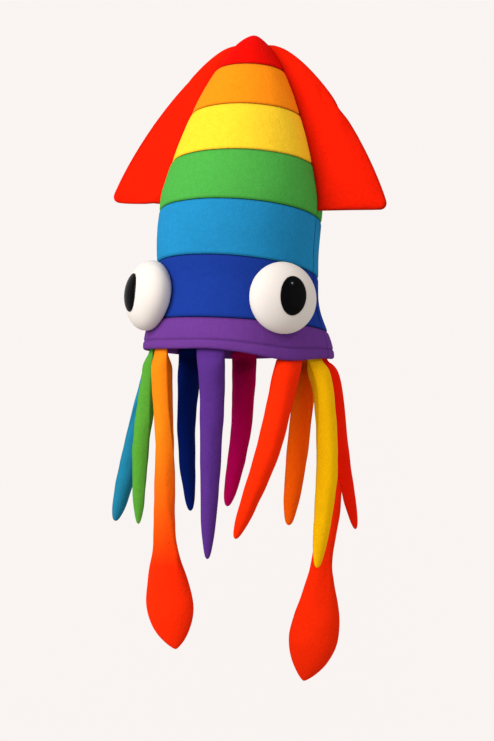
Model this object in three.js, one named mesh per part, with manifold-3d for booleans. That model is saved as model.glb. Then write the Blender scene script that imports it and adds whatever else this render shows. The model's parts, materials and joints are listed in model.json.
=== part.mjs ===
// A striped fleece squid hat: a stuffed, leaning crown of sewn bands with two fins, two stuffed eyes,
// a lining that leaves room for a head, and eleven stuffed arms that hang from the hem.
// Millimetres. +Z is up, -Y is the front (the face), and the origin is the centre of the hem's lower edge.
import * as THREE from 'three';
import { mergeVertices } from 'three/addons/utils/BufferGeometryUtils.js';
import Module from 'manifold-3d';

const wasm = await Module();
wasm.setup();

// ---- Driving dimensions ----
const hemRadius = 95;
const waistRadius = 80;
const waistHeight = 66;
const shoulderRadius = 80.5;
const shoulderHeight = 148;
const hemTilt = 2.3; // degrees that the hem's front stands above its back
const bandTilt = 10.5; // the same for the bands' seams
const bandTiltHeight = 62; // height from which the bands have their full tilt
const lowerLean = -6; // degrees that the hat's axis leans back, towards +Y, at the face
const crownLean = 7.6; // and in the crown
const leanStart = 90;
const leanLength = 70;
const sideLean = 3.5; // how far the crown stands over towards +X
const bandSkew = 0.054; // how much the crown's seams rise for each millimetre towards +X
const bandSkewStart = 110;
const bandSkewLength = 60;

const fleece = 3;
const liningCloth = 2;
const liningGap = 0.8; // between the outer cloth and what lies inside it
const seamGap = 0.3;
const sideSeamGap = 0.6; // between a front and a back panel
const hemFoldHeight = 11;
const hemFoldThickness = 2.4;
// The crown's cloth bands from the hem up, below its closed tip.
const bands = [
  { name: 'brim', height: 27, colour: 0x7a3fa0 },
  { name: 'royal_blue', height: 55.5, colour: 0x1c3fa8 },
  { name: 'sky_blue', height: 54, colour: 0x1e8bc8 },
  { name: 'green', height: 50.5, colour: 0x40af40 },
  { name: 'yellow', height: 50, colour: 0xffe032 },
  { name: 'orange', height: 46, colour: 0xff8c14 },
];
const tipHeight = 39;
const seamHeights = bands.map((_, i) => bands.slice(0, i + 1).reduce((sum, band) => sum + band.height, 0));
const tipStart = seamHeights[seamHeights.length - 1];
const hatHeight = tipStart + tipHeight;
const crownSharpness = 1.2; // exponents of the curve from the shoulder to the tip
const crownRoundness = 0.62;
const liningHeight = 186; // top of the room for the head
const liningDomeStart = 128;

const finReach = 150.5; // from the crown's axis to a fin's outer corner
const fins = [
  { side: 'left', bottom: 150 },
  { side: 'right', bottom: 144 },
];
const finBottomRise = 4.5; // from a fin's inner end out to its corner
const finStraightness = 0.45; // 1 for a straight outer edge
const finCurvePower = 0.6; // of the curved part of the outer edge
const finRowPower = 1.4; // above 1, the rows of points crowd at the bottom
const finTopInsets = 3; // insets left free at the fin's pointed top
const finThinnest = 0.5;
const finNarrowest = 1;
const finCornerRadius = 9;
const finTopDrop = 10; // from the hat's top down to the fins' top
const finTopWidth = 3;
const finThickness = 10;
const finEdgeThickness = 2.4;
const finEdge = 16; // width over which the fin thins towards its edge
const finSeamAllowance = 5;
const finCloth = 1.8;
const finRootGap = 1.8;
const finSweep = 12; // degrees that the fins lie back from the side seams

const eyeAzimuth = 48.5;
const eyeHeight = 46;
const eyeStand = 10.85; // from the hat's side out to the eye's middle
const eyeRadius = 35;
const eyeBulge = 22;
const eyeCloth = 1.8;
const pupilWidth = 26;
const pupilHeight = 36;
const pupilThickness = 1.6;
const leftPupilShift = 2.5; // towards the middle of the face

const armCloth = 2;
const armRootInset = 9; // from the hem's outside in to the middle of each arm's root
const armFlatness = 0.75; // thickness as a share of width
const armRootFlatness = 0.36;
const armRootLength = 24; // length over which a sewn-down root opens to the full section
const armHemGap = 0.8; // between the hem's lower edge and the top of each arm
const clubFlatness = 0.5;
const stalkTaper = 0.25; // share of its width that a tentacle's stalk loses
const clubStart = 0.58; // shares of a tentacle's length
const clubMiddle = 0.85;
const fillingGap = 1.3;

const roundSteps = 28;
const wallSteps = 20;
const wallMargin = 3; // least height between a wall's edge and its next point
const armRoundSteps = 10;

// Each arm: azimuth of its root from the front towards +X, drop from the hem to the tip, width at the
// root, share of it lost towards the tip, turn of the broad face below the root, and how far the arm
// stands outwards from the hat and along the rim at each of its stops. A tentacle ends in a club.
const armStops = [0.12, 0.5, 1]; // shares of the drop
const tentacleStops = [0.12, 0.4, 0.6, 0.82, 1];
const armTurnStart = 0.1; // share of an arm's drop where its turn starts
const armTurnLength = 0.45;
const arms = [
  { name: 'purple', azimuth: 3, drop: 199, width: 27, taper: 0.53, turn: 0,
    out: [0, 1, 0], along: [2, 3, 2], colour: 0x6a3a98 },
  { name: 'red_orange', azimuth: 57, drop: 178, width: 29.5, taper: 0.52, turn: 22,
    out: [0, 2, -12], along: [-6, -25, -52], colour: 0xff3a10 },
  { name: 'yellow', azimuth: 82, drop: 208, width: 26, taper: 0.4, turn: 38,
    out: [9, 17, 9], along: [0, 0, 0], colour: 0xf7c010 },
  { name: 'red', azimuth: 102, drop: 171, width: 24, taper: 0.46, turn: 42,
    out: [9, 18, 36], along: [0, 2, 4], colour: 0xe02008 },
  { name: 'orange', azimuth: 149, drop: 174, width: 27, taper: 0.4, turn: -30,
    out: [0, -1, -6], along: [0, 6, 12], colour: 0xf05a08 },
  { name: 'magenta', azimuth: -163, drop: 158, width: 24, taper: 0.42, turn: 0,
    out: [0, 0, 0], along: [0, 2, 14], colour: 0xa00048 },
  { name: 'navy', azimuth: -123, drop: 163, width: 25, taper: 0.42, turn: 0,
    out: [0, 2, 2], along: [0, 0, -8], colour: 0x041048 },
  { name: 'teal', azimuth: -88, drop: 173, width: 24, taper: 0.3, turn: 48,
    out: [7, 22, 42], along: [0, 0, 0], colour: 0x2288a8 },
  { name: 'green', azimuth: -65, drop: 172, width: 24, taper: 0.42, turn: -45,
    out: [1, 9, 10], along: [0, 2, 0], colour: 0x5ab040 },
];
const tentacles = [
  { name: 'orange_tentacle', azimuth: -41, drop: 291, width: 25, clubWidth: 46, turn: -50,
    out: [-2, -6, -6, -10.5, -15.5], along: [1, 3, 5.5, 10.5, 19], colour: 0xff7010 },
  { name: 'red_tentacle', azimuth: 124, drop: 330, width: 25, clubWidth: 49, turn: -75,
    out: [5, 13.5, 6, 3, -6], along: [0, -4, -3, 6, 14], colour: 0xff3008 },
];

// ---- Small helpers ----
const radians = THREE.MathUtils.degToRad;

function ease(share) {
  const u = THREE.MathUtils.clamp(share, 0, 1);
  return (1 - Math.cos(Math.PI * u)) / 2;
}

function steps(from, to, count) {
  return Array.from({ length: count + 1 }, (_, i) => from + ((to - from) * i) / count);
}

// Moves every vertex of a geometry by a function from Vector3 to Vector3.
function reshape(geometry, move) {
  const position = geometry.attributes.position;
  const point = new THREE.Vector3();
  for (let i = 0; i < position.count; i += 1) {
    point.fromBufferAttribute(position, i);
    const moved = move(point);
    position.setXYZ(i, moved.x, moved.y, moved.z);
  }
  return geometry;
}

function solidOf(geometry) {
  const bare = new THREE.BufferGeometry();
  bare.setAttribute('position', geometry.attributes.position.clone());
  if (geometry.index) {
    bare.setIndex(geometry.index.clone());
  }
  const merged = mergeVertices(bare, 1e-4);
  const kept = [];
  const corners = merged.index.array;
  for (let i = 0; i < corners.length; i += 3) {
    const [a, b, c] = [corners[i], corners[i + 1], corners[i + 2]];
    if (a !== b && b !== c && c !== a) {
      kept.push(a, b, c);
    }
  }
  return new wasm.Manifold(new wasm.Mesh({
    numProp: 3,
    vertProperties: new Float32Array(merged.attributes.position.array),
    triVerts: new Uint32Array(kept),
  }));
}

function geometryOf(solid) {
  const mesh = solid.getMesh();
  const geometry = new THREE.BufferGeometry();
  geometry.setAttribute('position', new THREE.BufferAttribute(new Float32Array(mesh.vertProperties), 3));
  geometry.setIndex(new THREE.BufferAttribute(new Uint32Array(mesh.triVerts), 1));
  return geometry;
}

// A solid of revolution about +Z from [radius, height] points.
function lathe(points, around = roundSteps) {
  const profile = points.map(([radius, height]) => new THREE.Vector2(radius, height));
  return new THREE.LatheGeometry(profile, around).rotateX(Math.PI / 2);
}

function clothMaterial(colour) {
  return new THREE.MeshStandardMaterial({ color: colour, roughness: 0.95, metalness: 0 });
}

// ---- The hat's surface: a round body on a curved axis, with seams that stand higher in front ----
function bodyRadius(height) {
  if (height >= shoulderHeight) {
    const u = Math.min((height - shoulderHeight) / (hatHeight - shoulderHeight), 1);
    return shoulderRadius * (1 - u ** crownSharpness) ** crownRoundness;
  }
  if (height >= waistHeight) {
    const rise = (height - waistHeight) / (shoulderHeight - waistHeight);
    return waistRadius + (shoulderRadius - waistRadius) * ease(rise);
  }
  return waistRadius + (hemRadius - waistRadius) * ease((waistHeight - height) / waistHeight);
}

function tiltAt(height) {
  return radians(hemTilt + (bandTilt - hemTilt) * ease(height / bandTiltHeight));
}

function leanAt(height) {
  return radians(lowerLean + (crownLean - lowerLean) * ease((height - leanStart) / leanLength));
}

function axisPoint(height) {
  const point = new THREE.Vector3(sideLean * ease((height - leanStart) / leanLength), 0, 0);
  const pieces = 60;
  const piece = height / pieces;
  for (let i = 0; i < pieces; i += 1) {
    const lean = leanAt((i + 0.5) * piece);
    point.y += Math.sin(lean) * piece;
    point.z += Math.cos(lean) * piece;
  }
  return point;
}

// Takes a point of the upright body to the leaning one.
function leanBack(point) {
  const tilt = tiltAt(point.z);
  const centre = axisPoint(point.z);
  return new THREE.Vector3(
    centre.x + point.x,
    centre.y + point.y * Math.cos(tilt),
    centre.z - point.y * Math.sin(tilt),
  );
}

// Every wall has its points at these heights, so that walls inside each other stay parallel.
const wallHeights = [...steps(0, hatHeight, wallSteps), hemFoldHeight, ...seamHeights];
wallHeights.sort((a, b) => a - b);

// The outline from one height to another, at a depth below the outer surface.
function wallPoints(from, to, depth) {
  const between = wallHeights.filter((height) => height > from + wallMargin && height < to - wallMargin);
  return [from, ...between, to].map((height) => [Math.max(bodyRadius(height) - depth, 0), height]);
}

// A closed ring between two heights and two depths below the outer surface.
function ringProfile(from, to, depth, thickness) {
  const outside = wallPoints(from, to, depth);
  const inside = wallPoints(from, to, depth + thickness).reverse();
  return [...outside, ...inside, outside[0]];
}

// Both halves of a body piece, parted at the side seams.
function halves(solid) {
  const size = 2 * hatHeight;
  const half = new THREE.BoxGeometry(size, size, 2 * size);
  const front = solidOf(half.clone().translate(0, -(size + sideSeamGap) / 2, 0));
  const back = solidOf(half.clone().translate(0, (size + sideSeamGap) / 2, 0));
  return { front: solid.intersect(front), back: solid.intersect(back) };
}

const group = new THREE.Group();

function addPiece(name, geometry, material) {
  const mesh = new THREE.Mesh(geometry, material);
  mesh.name = name;
  group.add(mesh);
  return mesh;
}

// ---- Sewn bands, each with a front and a back panel ----
// Slides a point of a panel up or down the body's side, so that the seams run askew.
function skewBand(point) {
  const skew = bandSkew * ease((point.z - bandSkewStart) / bandSkewLength);
  const height = Math.min(point.z + skew * point.x, hatHeight);
  const radius = Math.hypot(point.x, point.y);
  const slid = Math.max(radius + bodyRadius(height) - bodyRadius(point.z), 0);
  const share = radius > 0 ? slid / radius : 1;
  return new THREE.Vector3(point.x * share, point.y * share, height);
}

function addPanels(name, ring, colour) {
  for (const [side, solid] of Object.entries(halves(ring))) {
    const panel = reshape(reshape(geometryOf(solid), skewBand), leanBack);
    addPiece(`${name}_${side}_panel`, panel, clothMaterial(colour));
  }
}

function addBand(name, from, to, colour) {
  const ring = solidOf(lathe(ringProfile(from + seamGap / 2, to - seamGap / 2, 0, fleece)));
  addPanels(name, ring, colour);
}

function addCrownTip(colour) {
  const from = tipStart + seamGap / 2;
  const insideTop = hatHeight - 2 * fleece;
  const outside = wallPoints(from, hatHeight, 0);
  const inside = steps(insideTop, from, 4).map((height) => {
    const room = Math.max(bodyRadius(height) - fleece, 0);
    return [height === insideTop ? 0 : room, height];
  });
  const cap = solidOf(lathe([...inside, ...outside]));
  addPanels('crown_tip', cap, colour);
}

let bandStart = 0;
bands.forEach((band, i) => {
  addBand(band.name, bandStart, seamHeights[i], band.colour);
  bandStart = seamHeights[i];
});
addCrownTip(0xeb0a05);

// ---- The hem's folded-up edge, the lining and the stuffing above it ----
const hemFoldDepth = fleece + liningGap;
const hemFold = ringProfile(seamGap, hemFoldHeight, hemFoldDepth, hemFoldThickness);
addPiece('hem_fold', reshape(lathe(hemFold), leanBack), clothMaterial(0x7a3fa0));

function domePoints(depth, top, count) {
  const base = bodyRadius(liningDomeStart) - depth;
  return steps(0, Math.PI / 2, count).map((angle) => [
    angle === Math.PI / 2 ? 0 : base * Math.cos(angle),
    liningDomeStart + (top - liningDomeStart) * Math.sin(angle),
  ]);
}

const liningDepth = fleece + liningGap;
const liningBottom = hemFoldHeight + seamGap;
const liningOutside = [
  ...wallPoints(liningBottom, liningDomeStart, liningDepth).slice(0, -1),
  ...domePoints(liningDepth, liningHeight, 7),
];
const liningInside = [
  ...wallPoints(liningBottom, liningDomeStart, liningDepth + liningCloth).slice(0, -1),
  ...domePoints(liningDepth + liningCloth, liningHeight - liningCloth, 7),
];
addPiece(
  'lining',
  reshape(lathe([...liningInside.reverse(), ...liningOutside]), leanBack),
  clothMaterial(0x3a2a55),
);

function addCrownStuffing() {
  const depth = fleece + liningGap;
  const start = liningDomeStart + 18;
  const top = hatHeight - 3 * fleece;
  const outside = wallPoints(start, top, depth);
  outside[outside.length - 1][0] = 0;
  const block = solidOf(lathe([[0, start], ...outside]));
  const over = domePoints(liningDepth - liningGap, liningHeight + liningGap, 7);
  const dome = solidOf(lathe([[0, liningDomeStart - 1], [over[0][0], liningDomeStart - 1], ...over]));
  const stuffing = block.subtract(dome);
  addPiece('crown_stuffing', reshape(geometryOf(stuffing), leanBack), clothMaterial(0xf2f0ea));
}
addCrownStuffing();

// ---- Fins: two cloth panels each, around a flat wadding ----
// A fin's inner edge follows the body's side. Its outer edge curves from the hat's tip to the corner.
const finTopHeight = hatHeight - finTopDrop;

function finInner(height) {
  return bodyRadius(height) + finRootGap;
}

function finOuter(fin, height) {
  const above = height - fin.bottom;
  const up = Math.min(above / (finTopHeight - fin.bottom), 1);
  const curved = finStraightness * up + (1 - finStraightness) * (1 - (1 - up ** 2) ** finCurvePower);
  const short = THREE.MathUtils.clamp(finCornerRadius - above, 0, finCornerRadius);
  const corner = finCornerRadius - Math.sqrt(finCornerRadius ** 2 - short ** 2);
  return finReach - (finReach - finInner(finTopHeight) - finTopWidth) * curved - corner;
}

function finThicknessAt(fin, reach, height) {
  const margin = Math.min(
    reach - finInner(height),
    finOuter(fin, height) - reach,
    height - fin.bottom,
    finTopHeight - height,
  );
  const share = THREE.MathUtils.clamp(margin / finEdge, 0, 1);
  return finEdgeThickness + (finThickness - finEdgeThickness) * Math.sqrt(1 - (1 - share) ** 2);
}

// How far a fin's points are lifted, so that its lower edge rises towards the corner.
function finLift(fin, reach, height) {
  const inner = finInner(fin.bottom);
  const across = THREE.MathUtils.clamp((reach - inner) / (finReach - inner), 0, 1);
  const up = THREE.MathUtils.clamp((height - fin.bottom) / (finTopHeight - fin.bottom), 0, 1);
  return finBottomRise * across * (1 - up);
}

// A block that fills the fin's outline less an inset all round, thinner by a skin on each face.
function finBlock(fin, inset, skin) {
  const bottom = fin.bottom + inset;
  const top = finTopHeight - finTopInsets * inset;
  const block = new THREE.BoxGeometry(1, 1, 1, 6, 1, 9);
  return solidOf(reshape(block, (point) => {
    const across = ease(point.x + 0.5);
    const height = bottom + (top - bottom) * (point.z + 0.5) ** finRowPower;
    const near = finInner(height) + inset;
    const far = Math.max(finOuter(fin, height) - inset, near + finNarrowest);
    const reach = near + (far - near) * across;
    const thickness = Math.max(finThicknessAt(fin, reach, height) - 2 * skin, finThinnest);
    return new THREE.Vector3(reach, point.y * thickness, height + finLift(fin, reach, height));
  }));
}

// Stands a fin on the leaning crown and sweeps it back about its seam. The left fin is turned over first.
function placeFin(geometry, fin) {
  const turn = fin.side === 'left' ? -1 : 1;
  const low = leanBack(new THREE.Vector3(turn * finInner(fin.bottom), 0, fin.bottom));
  const high = leanBack(new THREE.Vector3(turn * finInner(finTopHeight), 0, finTopHeight));
  const seam = high.clone().sub(low).normalize();
  const sweep = new THREE.Quaternion().setFromAxisAngle(seam, turn * radians(finSweep));
  geometry.scale(turn, 1, 1);
  reshape(geometry, (point) => leanBack(point).sub(low).applyQuaternion(sweep).add(low));
  if (fin.side === 'left') {
    const corners = geometry.index.array;
    for (let i = 0; i < corners.length; i += 3) {
      [corners[i], corners[i + 1]] = [corners[i + 1], corners[i]];
    }
  }
  return geometry;
}

function addFins(colour) {
  for (const fin of fins) {
    const cover = finBlock(fin, 0, 0);
    const pocket = finBlock(fin, finSeamAllowance, finCloth);
    const wadding = finBlock(fin, finSeamAllowance + seamGap, finCloth + seamGap);
    const panels = halves(cover.subtract(pocket));
    addPiece(`${fin.side}_fin_front_panel`, placeFin(geometryOf(panels.front), fin), clothMaterial(colour));
    addPiece(`${fin.side}_fin_back_panel`, placeFin(geometryOf(panels.back), fin), clothMaterial(colour));
    addPiece(`${fin.side}_fin_wadding`, placeFin(geometryOf(wadding), fin), clothMaterial(0xf2f0ea));
  }
}
addFins(0xf52300);

// ---- Eyes: flattened stuffed balls sewn to the sides of the face ----
function bulgeSolid(shrink, around, down) {
  const ball = new THREE.SphereGeometry(1, around, down);
  ball.scale(eyeRadius - shrink, eyeBulge - shrink, eyeRadius - shrink);
  return ball;
}

// Places a piece made about the origin, facing -Y, at an eye.
function placeEye(geometry, side) {
  const turn = side === 'right' ? eyeAzimuth : -eyeAzimuth;
  geometry.translate(0, -(bodyRadius(eyeHeight) + eyeStand), 0);
  geometry.rotateZ(radians(turn));
  geometry.rotateX(-tiltAt(eyeHeight));
  const centre = axisPoint(eyeHeight);
  geometry.translate(centre.x, centre.y, centre.z);
  return geometry;
}

function bodySolid(grow) {
  const outside = wallPoints(eyeHeight - 2 * eyeRadius, eyeHeight + 2 * eyeRadius, -grow);
  const closed = [[0, outside[0][1]], ...outside, [0, outside[outside.length - 1][1]]];
  return solidOf(reshape(lathe(closed), leanBack));
}

function addEye(side) {
  const body = bodySolid(seamGap);
  const widerBody = bodySolid(2 * seamGap);
  const ball = solidOf(placeEye(bulgeSolid(0, 16, 10), side));
  const inner = solidOf(placeEye(bulgeSolid(eyeCloth, 16, 10), side));
  const filling = solidOf(placeEye(bulgeSolid(eyeCloth + 2 * seamGap, 16, 10), side));
  addPiece(`${side}_eye_cover`, geometryOf(ball.subtract(inner).subtract(body)), clothMaterial(0xf2eae4));
  addPiece(`${side}_eye_stuffing`, geometryOf(filling.subtract(widerBody)), clothMaterial(0xf2f0ea));

  const disc = new THREE.CylinderGeometry(1, 1, eyeBulge, 14);
  disc.scale(pupilWidth / 2, 1, pupilHeight / 2);
  disc.translate(side === 'left' ? leftPupilShift : 0, -eyeBulge, 0);
  const oval = solidOf(placeEye(disc, side));
  const skin = new THREE.SphereGeometry(1, 18, 11);
  skin.scale(eyeRadius + pupilThickness, eyeBulge + pupilThickness, eyeRadius + pupilThickness);
  const under = new THREE.SphereGeometry(1, 18, 11);
  under.scale(eyeRadius + seamGap, eyeBulge + seamGap, eyeRadius + seamGap);
  const film = solidOf(placeEye(skin, side)).subtract(solidOf(placeEye(under, side)));
  const pupil = new THREE.MeshStandardMaterial({ color: 0x08080a, roughness: 0.4, metalness: 0 });
  addPiece(`${side}_pupil`, geometryOf(film.intersect(oval)), pupil);
}
addEye('left');
addEye('right');

// ---- Arms and tentacles: a tapered sleeve with a filling, hung from the hem ----
const rootHalfThickness = (width) => (armRootFlatness * width) / 2;

function armHalfWidth(arm, share) {
  if (!arm.clubWidth) {
    return (arm.width / 2) * (1 - arm.taper * share) * Math.sqrt(1 - share ** 8);
  }
  const stalk = (arm.width / 2) * (1 - stalkTaper * ease(share / 0.5));
  if (share < clubMiddle) {
    const swell = ease((share - clubStart) / (clubMiddle - clubStart)) ** 1.2;
    return stalk + (arm.clubWidth / 2 - stalk) * swell;
  }
  return (arm.clubWidth / 2) * (1 - ((share - clubMiddle) / (1 - clubMiddle)) ** 2) ** 0.85;
}

function armFlat(arm, distance, length) {
  const opened = ease(distance / armRootLength);
  const root = armRootFlatness + (armFlatness - armRootFlatness) * opened;
  const club = arm.clubWidth ? ease((distance / length - 0.55) / 0.3) : 0;
  return root + (clubFlatness - root) * club;
}

// The middle line of an arm, from its hinge under the hem to its tip.
function armLine(arm) {
  const out = new THREE.Vector3(Math.sin(radians(arm.azimuth)), -Math.cos(radians(arm.azimuth)), 0);
  const along = new THREE.Vector3(Math.cos(radians(arm.azimuth)), Math.sin(radians(arm.azimuth)), 0);
  const hinge = armHemGap + rootHalfThickness(arm.width);
  const root = leanBack(out.clone().multiplyScalar(hemRadius - armRootInset));
  root.z -= hinge;
  const stops = arm.clubWidth ? tentacleStops : armStops;
  const hung = stops.map((share, i) => root.clone()
    .addScaledVector(out, arm.out[i])
    .addScaledVector(along, arm.along[i])
    .setZ(root.z - share * (arm.drop + root.z)));
  return { curve: new THREE.CatmullRomCurve3([root, ...hung], false, 'centripetal'), out };
}

// Bends an upright piece, whose tip is at z = length and root at z = 0, along the arm's middle line.
function hangArm(geometry, arm, length) {
  const { curve, out } = armLine(arm);
  return reshape(geometry, (point) => {
    const share = THREE.MathUtils.clamp(point.z / length, 0, 1);
    const centre = curve.getPointAt(share);
    const down = curve.getTangentAt(share);
    const twist = radians(arm.turn) * ease((share - armTurnStart) / armTurnLength);
    const across = new THREE.Vector3().crossVectors(down, out).normalize();
    const face = new THREE.Vector3().crossVectors(down, across).normalize();
    const flat = armFlat(arm, Math.max(point.z, 0), length);
    const x = point.x * Math.cos(twist) - point.y * flat * Math.sin(twist);
    const y = point.x * Math.sin(twist) + point.y * flat * Math.cos(twist);
    return centre.addScaledVector(across, x).addScaledVector(face, y)
      .addScaledVector(down, Math.min(point.z, 0));
  });
}

function addArm(arm, name) {
  const length = armLine(arm).curve.getLength();
  const rootRound = rootHalfThickness(arm.width);
  const stations = arm.clubWidth
    ? [0, 0.12, 0.24, 0.36, 0.48, 0.6, 0.7, 0.78, 0.86, 0.93, 0.97, 1]
    : [0, 0.08, 0.18, 0.3, 0.43, 0.56, 0.7, 0.83, 0.93, 1];
  // The top of the root is round about its hinge line, with the sleeve's open mouth in its middle.
  const mouth = 0.45;
  const rootTop = [mouth, 0.8].map((share) => [
    share * armHalfWidth(arm, 0),
    -rootRound * Math.sqrt(1 - share ** 2),
  ]);
  const outside = [...rootTop, ...stations.map((share) => [armHalfWidth(arm, share), share * length])];
  outside[outside.length - 1][0] = 0;

  const top = -rootRound * Math.sqrt(1 - mouth ** 2);
  const insideLength = length - 2 * armCloth;
  const cavity = [
    [mouth * armHalfWidth(arm, 0) - armCloth, top],
    ...stations.slice(1, -1).map((share) => [
      Math.max(armHalfWidth(arm, share) - armCloth, 2 * fillingGap),
      share * insideLength,
    ]),
    [0, insideLength],
  ];
  const sleeve = lathe([...cavity.slice().reverse(), ...outside], armRoundSteps);
  addPiece(`${name}_sleeve`, hangArm(sleeve, arm, length), clothMaterial(arm.colour));

  const core = cavity.map(([radius, height]) => [Math.max(radius - fillingGap, 0), height]);
  core[core.length - 1][1] -= 3 * fillingGap;
  const filling = lathe([[0, top], ...core], armRoundSteps);
  addPiece(`${name}_filling`, hangArm(filling, arm, length), clothMaterial(0xf2f0ea));
}

for (const arm of arms) {
  addArm(arm, `${arm.name}_arm`);
}
for (const tentacle of tentacles) {
  addArm(tentacle, tentacle.name);
}

export default group;
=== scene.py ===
"""A striped fleece squid hat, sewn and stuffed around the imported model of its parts.

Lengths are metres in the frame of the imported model: +Z is up, -Y is the face, and the origin is the
centre of the hem's lower edge.
"""

import json
import math
from bisect import bisect_right
from functools import partial

import bmesh
import bpy
from bpy.props import FloatProperty, FloatVectorProperty, PointerProperty
from mathutils import Matrix, Quaternion, Vector, noise
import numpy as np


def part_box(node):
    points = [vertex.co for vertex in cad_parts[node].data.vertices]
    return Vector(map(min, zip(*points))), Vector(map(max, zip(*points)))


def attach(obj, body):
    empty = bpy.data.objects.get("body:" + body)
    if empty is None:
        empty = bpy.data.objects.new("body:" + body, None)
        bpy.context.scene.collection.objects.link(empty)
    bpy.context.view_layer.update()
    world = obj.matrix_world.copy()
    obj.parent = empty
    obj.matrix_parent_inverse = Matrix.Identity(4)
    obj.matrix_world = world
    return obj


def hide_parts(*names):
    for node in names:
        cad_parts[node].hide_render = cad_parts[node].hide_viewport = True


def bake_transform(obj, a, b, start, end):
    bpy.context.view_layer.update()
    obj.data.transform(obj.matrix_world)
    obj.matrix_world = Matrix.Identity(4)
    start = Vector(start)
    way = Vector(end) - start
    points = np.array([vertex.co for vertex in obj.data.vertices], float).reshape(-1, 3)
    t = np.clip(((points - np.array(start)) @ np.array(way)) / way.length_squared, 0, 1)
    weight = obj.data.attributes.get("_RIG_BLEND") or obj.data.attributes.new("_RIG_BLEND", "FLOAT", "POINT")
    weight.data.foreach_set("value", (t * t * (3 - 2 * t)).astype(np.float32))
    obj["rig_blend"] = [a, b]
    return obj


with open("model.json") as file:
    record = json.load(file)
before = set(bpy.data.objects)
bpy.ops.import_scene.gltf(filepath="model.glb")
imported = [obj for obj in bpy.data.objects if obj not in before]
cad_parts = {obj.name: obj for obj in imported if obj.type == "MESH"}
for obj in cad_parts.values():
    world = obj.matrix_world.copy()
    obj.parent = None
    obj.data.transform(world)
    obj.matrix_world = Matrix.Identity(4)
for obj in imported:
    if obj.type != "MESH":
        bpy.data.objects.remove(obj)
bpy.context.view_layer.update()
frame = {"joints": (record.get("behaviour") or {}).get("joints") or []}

bl_info = {
    "name": "Squid Hat",
    "version": (1, 0, 0),
    "blender": (4, 5, 0),
    "location": "3D View > Sidebar > Squid Hat",
    "description": "Sews, stuffs and lights a striped fleece squid hat",
    "category": "Object",
}

# Each band of the crown from the hem up: its name, its cloth and the height of its upper seam.
BANDS = (
    ("brim", "purple_fleece", 0.027),
    ("royal_blue", "royal_blue_fleece", 0.0825),
    ("sky_blue", "sky_blue_fleece", 0.1365),
    ("green", "green_fleece", 0.187),
    ("yellow", "yellow_fleece", 0.237),
    ("orange", "orange_fleece", 0.283),
)
TIP_START = BANDS[-1][2]

# Where the hem hangs low or lifts: azimuth from the face towards +X, half width and drop.
HEM_WAVES = (
    (52, 24, 0.0075),
    (95, 22, 0.0021),
    (2, 12, -0.001),
    (-150, 28, 0.0025),
    (160, 25, -0.0012),
)

ARM_STOPS = (0.12, 0.5, 1.0)  # shares of the drop from the root to the tip
# Each arm: its cloth, its width at the root, the share of it lost towards the tip, how far it turns below
# the root in degrees, and how far it stands outwards and along the rim at each of its stops.
ARMS = {
    "purple": ("violet_fleece", 0.028, 0.53, 0, (0.0, 0.001, 0.0), (0.002, 0.003, 0.002)),
    "red_orange": ("red_orange_fleece", 0.0305, 0.52, 22, (0.0, 0.002, -0.012), (-0.006, -0.025, -0.052)),
    "yellow": ("amber_fleece", 0.027, 0.40, 38, (0.009, 0.017, 0.009), (0.0, 0.0, 0.0)),
    "red": ("scarlet_fleece", 0.025, 0.46, 42, (0.009, 0.018, 0.036), (0.0, 0.002, 0.004)),
    "orange": ("dark_orange_fleece", 0.028, 0.40, -30, (0.0, -0.001, -0.006), (0.0, 0.006, 0.012)),
    "magenta": ("magenta_fleece", 0.025, 0.42, 0, (0.0, 0.0, 0.0), (0.0, 0.002, 0.014)),
    "navy": ("navy_fleece", 0.026, 0.42, 0, (0.0, 0.002, 0.002), (0.0, 0.0, -0.008)),
    "teal": ("teal_fleece", 0.025, 0.30, 48, (0.007, 0.022, 0.042), (0.0, 0.0, 0.0)),
    "green": ("leaf_green_fleece", 0.025, 0.42, -45, (0.001, 0.009, 0.010), (0.0, 0.002, 0.0)),
}

TENTACLE_STOPS = (0.12, 0.4, 0.6, 0.82, 1.0)
# Each tentacle: cloth, stalk width, club width, turn of the club in degrees, and the same two hangs.
TENTACLES = {
    "orange_tentacle": (
        "tentacle_orange_fleece",
        0.026,
        0.046,
        -50,
        (-0.002, -0.006, -0.006, -0.0105, -0.0155),
        (0.001, 0.003, 0.0055, 0.0105, 0.019),
    ),
    "red_tentacle": (
        "tentacle_red_fleece",
        0.025,
        0.049,
        -75,
        (0.005, 0.0135, 0.006, 0.003, -0.006),
        (0.0, -0.004, -0.003, 0.006, 0.014),
    ),
}


def length(name, description, default):
    return FloatProperty(name=name, description=description, default=default, unit="LENGTH", precision=4)


def angle(name, description, degrees):
    return FloatProperty(
        name=name, description=description, default=math.radians(degrees), subtype="ANGLE"
    )


def amount(name, description, default):
    return FloatProperty(name=name, description=description, default=default, subtype="FACTOR")


def cloth_colour(name, description, red, green, blue):
    return FloatVectorProperty(
        name=name,
        description=description,
        default=(red / 255, green / 255, blue / 255),
        subtype="COLOR_GAMMA",
        size=3,
        min=0.0,
        max=1.0,
    )


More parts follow.
